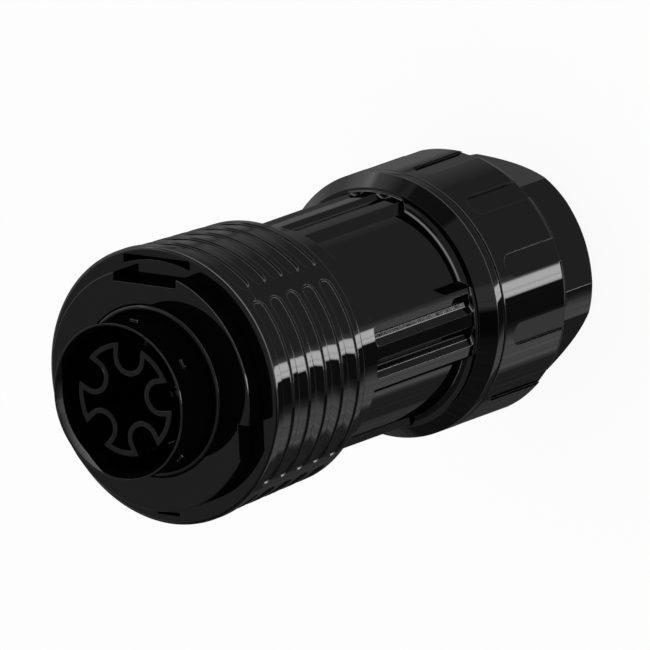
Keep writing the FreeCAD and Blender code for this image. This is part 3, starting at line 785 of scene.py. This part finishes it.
class CONNECTOR_OT_coupling_sleeve(bpy.types.Operator):
    """Model the coupling sleeve with its grip grooves and latch pockets"""

    bl_idname = "connector.coupling_sleeve"
    bl_label = "Coupling Sleeve"

    def execute(self, context):
        sizes = context.scene.connector_sleeve
        radius = SLEEVE_HIGH.x
        low, high = SLEEVE_LOW.z, SLEEVE_HIGH.z
        band_rear = high - sizes.first
        sleeve = lathe(
            "sleeve_moulding",
            sizes.steps,
            (sizes.cavity, low, SMALL_EDGE),
            (sizes.rear, low, sizes.rear_edge),
            (sizes.waist, band_rear),
            (radius, band_rear),
            (radius, high, sizes.front_edge),
            (sizes.bore, high, SMALL_EDGE),
            (sizes.bore, high - sizes.wall),
            (sizes.cavity, high - sizes.wall),
        )
        grooves = []
        for row in range(sizes.rows):
            middle = band_rear - row * sizes.pitch
            rise = (middle - low) / (band_rear - low)
            groove = groove_cutter(sizes, sizes.rear + (sizes.waist - sizes.rear) * rise)
            groove.location.z = middle
            pick(groove)
            bpy.ops.object.transform_apply(location=True, rotation=True, scale=True)
            grooves += ring_of(groove, sizes.segments)
        cut(sleeve, *grooves)
        for half_angle, side in ((sizes.pocket_top, 1), (sizes.pocket_low, -1)):
            pocket = pocket_cutter(sizes, half_angle, high)
            cut(sleeve, *ring_of(pocket, 1, side * QUARTER_TURN))
        dress(sleeve, "coupling_sleeve", "coupling_sleeve",
              finishes(context.scene)["housing_plastic"])
        return {"FINISHED"}


def panel_cutter(sizes):
    """Cutter for one panel on the X axis: a round floor between sloping sides."""
    inner_x = sizes.panel_floor * math.cos(sizes.panel_floor_half)
    inner_y = sizes.panel_floor * math.sin(sizes.panel_floor_half)
    top_x = sizes.barrel * math.cos(sizes.panel_top_half)
    top_y = sizes.barrel * math.sin(sizes.panel_top_half)
    outer_x = sizes.barrel + OVERCUT
    outer_y = inner_y + (top_y - inner_y) * (outer_x - inner_x) / (top_x - inner_x)
    rear, front = sizes.cone_front, sizes.panel_front
    panel = block((inner_x, -outer_y, rear - OVERCUT / 2), (outer_x, outer_y, front))
    stretch(panel, (1, inner_y / outer_y, 1), lambda corner: corner.x < inner_x + MERGE)
    core = lathe(
        "panel_core",
        sizes.steps,
        (0, rear - OVERCUT),
        (2 * sizes.barrel, rear - OVERCUT),
        (2 * sizes.barrel, rear),
        (sizes.panel_floor, rear, sizes.panel_root),
        (sizes.panel_floor, front + OVERCUT),
        (0, front + OVERCUT),
    )
    return cut(panel, core)


def flute_cutter(sizes):
    """Cutter for one flute on the X axis: sloping sides, narrow floor, rounded corners and foot."""
    floor = sizes.barrel - sizes.flute_depth
    slope = (sizes.flute_width - sizes.flute_floor) / 2 / sizes.flute_depth
    side = sizes.flute_width / 2 + slope * OVERCUT
    flute = block((floor, -side, sizes.flute_rear), (sizes.barrel + OVERCUT, side, sizes.panel_front))
    stretch(flute, (1, sizes.flute_floor / 2 / side, 1), lambda corner: corner.x < floor + MERGE)
    round_edges(flute, sizes.flute_corner, FLUTE_CORNER_STEPS, lambda a, b: abs(a.x - b.x) > MERGE)
    foot = floor + MERGE
    return round_edges(flute, sizes.flute_root, FLUTE_ROOT_STEPS, lambda a, b: max(a.x, b.x) < foot)


class CONNECTOR_OT_socket_body(bpy.types.Operator):
    """Model the socket body with its panels, flutes and coned flange"""

    bl_idname = "connector.socket_body"
    bl_label = "Socket Body"

    def execute(self, context):
        sizes = context.scene.connector_body
        flange = BODY_HIGH.x
        low, high = BODY_LOW.z, BODY_HIGH.z
        body = lathe(
            "body_moulding",
            sizes.steps,
            (sizes.seal_bore, low),
            (sizes.spigot, low, WIDE_EDGE),
            (sizes.spigot, sizes.flange_rear),
            (flange, sizes.flange_rear, sizes.edge),
            (flange, sizes.cone_rear, sizes.edge),
            (sizes.cone_radius, sizes.cone_front, CRISP_EDGE),
            (sizes.barrel, sizes.cone_front, sizes.barrel_root),
            (sizes.barrel, sizes.shoulder),
            (sizes.neck, sizes.shoulder),
            (sizes.neck, high, PLAIN_EDGE),
            (sizes.insert_bore, high),
            (sizes.insert_bore, sizes.insert_floor),
            (sizes.chamber, sizes.insert_floor),
            (sizes.chamber, sizes.seal_front),
            (sizes.seal_bore, sizes.seal_front),
        )
        quarter = math.tau / sizes.panels
        for panel in ring_of(panel_cutter(sizes), sizes.panels, quarter / 2):
            cut(body, panel)
        flutes = []
        for side in (-1, 1):
            flute = flute_cutter(sizes)
            flutes += ring_of(flute, sizes.panels, sizes.flute_turn + side * sizes.flute_spread)
        cut(body, *flutes)
        dress(body, "socket_body", "connector_body",
              finishes(context.scene)["housing_plastic"])
        return {"FINISHED"}


class CONNECTOR_OT_gland_nut(bpy.types.Operator):
    """Model the gland nut with its pocketed grip and hexagon"""

    bl_idname = "connector.gland_nut"
    bl_label = "Gland Nut"

    def execute(self, context):
        sizes = context.scene.connector_nut
        radius = NUT_HIGH.x
        low, high = NUT_LOW.z, NUT_HIGH.z
        nut = lathe(
            "nut_moulding",
            sizes.steps,
            (sizes.cable_exit, low, WIDE_EDGE),
            (sizes.rear, low, PLAIN_EDGE),
            (sizes.corner, low + sizes.cone, PLAIN_EDGE),
            (sizes.corner, sizes.hexagon),
            (radius - sizes.rim_step, sizes.hexagon, FINE_EDGE),
            (radius, sizes.hexagon + sizes.rim_length, sizes.edge),
            (radius, high, SMALL_EDGE),
            (sizes.thread_bore, high, PLAIN_EDGE),
            (sizes.thread_bore, sizes.thread_floor),
            (sizes.cavity, sizes.thread_floor),
            (sizes.cavity, sizes.floor),
            (sizes.cable_exit, sizes.floor),
        )
        flat = block(
            (sizes.flats / 2, -sizes.corner, low - OVERCUT),
            (sizes.corner + OVERCUT, sizes.corner, sizes.hexagon),
        )
        for side in ring_of(flat, HEXAGON_SIDES, sizes.hexagon_turn):
            cut(nut, side)
        front = high - sizes.pocket_front
        pocket = block(
            (radius - sizes.pocket_depth, -sizes.pocket_width / 2, sizes.hexagon - OVERCUT),
            (radius + OVERCUT, sizes.pocket_width / 2, front),
        )
        round_edges(
            pocket,
            sizes.pocket_width * sizes.pocket_round,
            GRIP_POCKET_STEPS,
            lambda a, b: abs(a.x - b.x) > MERGE and a.z > front - MERGE,
        )
        cut(nut, *ring_of(pocket, sizes.pockets, sizes.pocket_turn))
        dress(nut, "gland_nut", "gland_nut",
              finishes(context.scene)["housing_plastic"])
        return {"FINISHED"}


class CONNECTOR_OT_insert_shroud(bpy.types.Operator):
    """Model the insert shroud: keyed collar, mating tube and skirt"""

    bl_idname = "connector.insert_shroud"
    bl_label = "Insert Shroud"

    def execute(self, context):
        sizes = context.scene.connector_shroud
        collar = SHROUD_HIGH.x
        low, high = SHROUD_LOW.z, SHROUD_HIGH.z
        seat_floor = sizes.collar_front - sizes.seat_depth
        shroud = lathe(
            "shroud_moulding",
            sizes.steps,
            (sizes.bore, low),
            (sizes.skirt, low, PLAIN_EDGE),
            (sizes.skirt, sizes.seal_low),
            (sizes.seal_radius, sizes.seal_low),
            (sizes.seal_radius, sizes.seal_high),
            (sizes.skirt, sizes.seal_high),
            (sizes.skirt, sizes.collar_rear),
            (collar, sizes.collar_rear, sizes.edge),
            (collar, sizes.collar_front, sizes.edge),
            (sizes.seat_radius, sizes.collar_front, FINE_EDGE),
            (sizes.seat_radius, seat_floor),
            (sizes.tube, seat_floor),
            (sizes.tube, high, sizes.rim),
            (sizes.bore + sizes.mouth_flare, high, sizes.rim),
            (sizes.bore, high - sizes.mouth_length),
        )
        below, above = sizes.collar_rear - OVERCUT / 2, sizes.collar_front + OVERCUT
        half_notch, half_side = sizes.notch_width / 2, sizes.side_width / 2
        cut(
            shroud,
            block((-half_notch, sizes.notch_floor, below), (half_notch, 2 * collar, above)),
            block((-2 * collar, -half_side, below), (-sizes.side_floor, half_side, above)),
            block((sizes.flat_floor, -2 * collar, below), (2 * collar, sizes.flat_top, above)),
        )
        key_high = high - sizes.key_setback
        key = block(
            (sizes.tube - sizes.key_height, -sizes.key_width / 2, key_high - sizes.key_length),
            (sizes.tube + sizes.key_height, sizes.key_width / 2, key_high),
        )
        round_edges(key, sizes.key_corner, KEY_CORNER_STEPS, lambda a, b: abs(a.x - b.x) > MERGE)
        top = sizes.tube + sizes.key_height
        round_edges(key, sizes.key_edge, KEY_EDGE_STEPS, lambda a, b: min(a.x, b.x) > top - MERGE)
        keys = [turned_copy(key, angle) for angle in sizes.key_angles]
        bpy.data.objects.remove(key)
        combine(shroud, keys, "UNION")
        dress(shroud, "insert_shroud", "connector_body",
              finishes(context.scene)["housing_plastic"])
        return {"FINISHED"}


def star(sizes, inset, low, high):
    """Solid star: a disc with a round-bottomed slot for each pole, drawn in by an inset."""
    disc = post(sizes.web - inset, low, high, (0, 0), sizes.steps)
    slot = sizes.chamber + inset
    below, above = low - OVERCUT, high + OVERCUT
    cut(disc, *ring_of(post(slot, below, above, (sizes.pole_circle, 0)), sizes.poles, sizes.pole_turn))
    mouth = block((sizes.pole_circle, -slot, below), (2 * sizes.web, slot, above))
    stretch(mouth, (1, (sizes.mouth / 2 + inset) / slot, 1), lambda corner: corner.x > sizes.web)
    for arm in ring_of(mouth, sizes.poles, sizes.pole_turn):
        cut(disc, arm)
    return disc


class CONNECTOR_OT_contact_carrier(bpy.types.Operator):
    """Model the contact carrier with its star web"""

    bl_idname = "connector.contact_carrier"
    bl_label = "Contact Carrier"

    def execute(self, context):
        sizes = context.scene.connector_carrier
        low, high = CARRIER_LOW.z, CARRIER_HIGH.z
        carrier = lathe(
            "carrier_moulding",
            sizes.steps,
            (0, low),
            (sizes.flange, low, SMALL_EDGE),
            (sizes.flange, sizes.flange_front, SMALL_EDGE),
            (sizes.hub, sizes.flange_front),
            (sizes.hub, sizes.hub_front, SMALL_EDGE),
            (0, sizes.hub_front),
        )
        web = star(sizes, 0.0, sizes.hub_front - OVERCUT, high)
        cut(web, star(sizes, sizes.web_wall, sizes.hub_front, high + OVERCUT))
        soften(web, sizes.web_edge)
        combine(carrier, [web], "UNION")
        top = sizes.hub_front + OVERCUT / 2
        hole = post(sizes.socket_hole, low - OVERCUT, top, (sizes.pole_circle, 0))
        cut(carrier, *ring_of(hole, sizes.poles, sizes.pole_turn))
        dress(carrier, "contact_carrier", "connector_body",
              finishes(context.scene)["insulator_plastic"])
        return {"FINISHED"}


class CONNECTOR_OT_inner_pieces(bpy.types.Operator):
    """Give the contacts, seals, springs and clamp pieces their finishes, and give the sleeve spring a mesh
    of its own
    """

    bl_idname = "connector.inner_pieces"
    bl_label = "Inner Pieces"

    def execute(self, context):
        made = finishes(context.scene)
        by_name = {
            "slip_ring": "gland_plastic",
            "clamp_cage": "gland_plastic",
            "cable_seal": "seal_rubber",
            "seal_insert": "seal_rubber",
            "interface_seal": "seal_rubber",
            "insert_seal": "seal_rubber",
            "terminal_block": "insulator_plastic",
            "sleeve_spring": "spring_steel",
            "contact_springs": "spring_steel",
            "terminal_screws": "screw_steel",
        }
        for name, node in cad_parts.items():
            slot = by_name.get(name, "contact_metal" if name.startswith("socket_contact") else None)
            if slot:
                node.data.materials.clear()
                node.data.materials.append(made[slot])
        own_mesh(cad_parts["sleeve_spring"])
        return {"FINISHED"}


def floor_finish(stage):
    """Pale floor that shows as near white to the eye and in gloss, and still holds the shadow."""
    bench = Bench(bpy.data.materials.new("finish_floor"))
    pale = bench.node("ShaderNodeBsdfDiffuse", {}, {"Color": tint(stage.floor_colour)})
    white = bench.node("ShaderNodeEmission", {}, {"Color": WHITE, "Strength": 1.0})
    path = "ShaderNodeLightPath"
    seen = bench.node(path, output="Is Camera Ray") + bench.node(path, output="Is Glossy Ray")
    seen = seen + bench.node(path, output="Is Transmission Ray")
    return bench.finish(bench.node(
        "ShaderNodeMixShader", {}, {"Fac": seen * stage.floor_white, 1: pale, 2: white}
    ))


def studio(stage):
    """Soft even surroundings; gloss shows softboxes, dark screens and a bright horizon in them instead."""
    bench = Bench(bpy.data.worlds.new("studio"))
    direction = bench.node("ShaderNodeTexCoord", output="Generated")
    split = bench.node("ShaderNodeSeparateXYZ", {}, {0: direction})
    east, north, height = (Socket(bench, output) for output in split.output.node.outputs)
    bearing = bench.node("ShaderNodeMath", {"operation": "ARCTAN2"}, {0: north, 1: east})
    turn = 0.5 + bearing * (1 / math.tau)
    low_ring, high_ring = (
        bench.node("ShaderNodeValToRGB", {"stops": [
            (0.5 + degrees / 360, level / stage.softbox) for degrees, level in stops
        ]}, {"Fac": turn})
        for stops in (STUDIO_LOW, STUDIO_HIGH)
    )
    below = bench.node(
        "ShaderNodeMath",
        {"operation": "MULTIPLY", "use_clamp": True},
        {0: stage.sill - height, 1: 1 / stage.sill_fade},
    )
    ring = high_ring + (low_ring - high_ring) * below
    streaks = bench.node(
        "ShaderNodeTexNoise",
        {"noise_dimensions": "1D"},
        {"W": bearing, "Scale": stage.streaks, "Detail": 4.0},
    )
    south = bench.node("ShaderNodeMath", {"operation": "LESS_THAN"}, {0: north, 1: 0.0})
    away = bench.node("ShaderNodeMath", {"operation": "ABSOLUTE"}, {0: height - stage.horizon_height})
    near = bench.node(
        "ShaderNodeMath",
        {"operation": "SUBTRACT", "use_clamp": True},
        {0: 1.0, 1: away * (1 / stage.band)},
    )
    dawn = east * math.cos(stage.dawn) + north * math.sin(stage.dawn)
    ahead = bench.node("ShaderNodeMath", {"operation": "MAXIMUM"}, {0: dawn, 1: 0.0})
    under = bench.node(
        "ShaderNodeMath",
        {"operation": "MULTIPLY", "use_clamp": True},
        {0: stage.ground_edge - height, 1: 1 / stage.ground_fade},
    )
    level = ring * stage.softbox * (1 + south * (streaks - 0.5))
    level = level + (near * stage.horizon + under * stage.ground) * ahead
    even = bench.node("ShaderNodeBackground", {}, {"Color": WHITE, "Strength": stage.world})
    boxes = bench.node("ShaderNodeBackground", {}, {"Color": WHITE, "Strength": level})
    low = bench.node("ShaderNodeMath", {"operation": "LESS_THAN"}, {0: height, 1: stage.overhead})
    shown = low * bench.node("ShaderNodeLightPath", output="Is Glossy Ray")
    mixed = bench.node("ShaderNodeMixShader", {}, {"Fac": shown, 1: even, 2: boxes})
    return bench.finish(mixed, "ShaderNodeOutputWorld")


def high_lamp(stage):
    """A soft square lamp, turned to the object and hidden from the camera."""
    place = Vector(stage.lamp_place)
    target = Vector((0, 0, stage.lamp_target))
    bpy.ops.object.select_all(action="DESELECT")
    bpy.ops.object.light_add(type="AREA", location=place)
    light = bpy.context.object
    light.name = "high_lamp"
    light.data.shape = "SQUARE"
    light.data.size = stage.lamp_size
    light.data.energy = stage.lamp_power
    light.rotation_euler = (target - place).to_track_quat("-Z", "Y").to_euler()
    light.visible_camera = False


class CONNECTOR_OT_stage(bpy.types.Operator):
    """Set up the floor, the soft light and the camera"""

    bl_idname = "connector.stage"
    bl_label = "Stage"

    def execute(self, context):
        scene = context.scene
        stage = scene.connector_stage
        scene.view_settings.view_transform = "Standard"
        bpy.ops.object.select_all(action="DESELECT")
        bpy.ops.mesh.primitive_plane_add(size=2 * stage.floor)
        floor = context.object
        floor.name = "stage_floor"
        floor.data.materials.append(floor_finish(stage))
        floor.visible_glossy = False
        scene.world = studio(stage)
        high_lamp(stage)

        level_right = Vector((-math.sin(stage.azimuth), math.cos(stage.azimuth), 0))
        towards = Vector((
            math.cos(stage.elevation) * math.cos(stage.azimuth),
            math.cos(stage.elevation) * math.sin(stage.azimuth),
            math.sin(stage.elevation),
        ))
        level_up = towards.cross(level_right)
        right = level_right * math.cos(stage.roll) + level_up * math.sin(stage.roll)
        up = towards.cross(right)
        bpy.ops.object.camera_add()
        camera = context.object
        camera.name = "view_camera"
        camera.data.lens = stage.lens
        distance = stage.width * stage.lens / camera.data.sensor_width
        place = Vector(stage.aim) + towards * distance
        turn = Matrix((right, up, towards)).transposed().to_4x4()
        camera.matrix_world = Matrix.Translation(place) @ turn
        scene.camera = camera
        return {"FINISHED"}


class CONNECTOR_PT_panel(bpy.types.Panel):
    """Lists the pieces of the connector"""

    bl_idname = "CONNECTOR_PT_panel"
    bl_label = "Connector"
    bl_space_type = "VIEW_3D"
    bl_region_type = "UI"
    bl_category = "Connector"

    def draw(self, context):
        for operator in OPERATORS:
            self.layout.operator(operator.bl_idname)


SETTINGS = {
    "connector_sleeve": SleeveSettings,
    "connector_body": BodySettings,
    "connector_nut": NutSettings,
    "connector_shroud": ShroudSettings,
    "connector_carrier": CarrierSettings,
    "connector_finish": FinishSettings,
    "connector_stage": StageSettings,
}
OPERATORS = (
    CONNECTOR_OT_coupling_sleeve,
    CONNECTOR_OT_socket_body,
    CONNECTOR_OT_gland_nut,
    CONNECTOR_OT_insert_shroud,
    CONNECTOR_OT_contact_carrier,
    CONNECTOR_OT_inner_pieces,
    CONNECTOR_OT_stage,
)


def register():
    """Add the settings, operators and panel to Blender."""
    for name, group in SETTINGS.items():
        bpy.utils.register_class(group)
        setattr(bpy.types.Scene, name, bpy.props.PointerProperty(type=group))
    for kind in (*OPERATORS, CONNECTOR_PT_panel):
        bpy.utils.register_class(kind)


def unregister():
    """Take the settings, operators and panel out of Blender."""
    for kind in (CONNECTOR_PT_panel, *reversed(OPERATORS)):
        bpy.utils.unregister_class(kind)
    for name, group in reversed(SETTINGS.items()):
        delattr(bpy.types.Scene, name)
        bpy.utils.unregister_class(group)


def main():
    """Build every piece in order."""
    register()
    bpy.ops.connector.coupling_sleeve()
    bpy.ops.connector.socket_body()
    bpy.ops.connector.gland_nut()
    bpy.ops.connector.insert_shroud()
    bpy.ops.connector.contact_carrier()
    bpy.ops.connector.inner_pieces()
    bpy.ops.connector.stage()


if __name__ == "__main__":
    main()
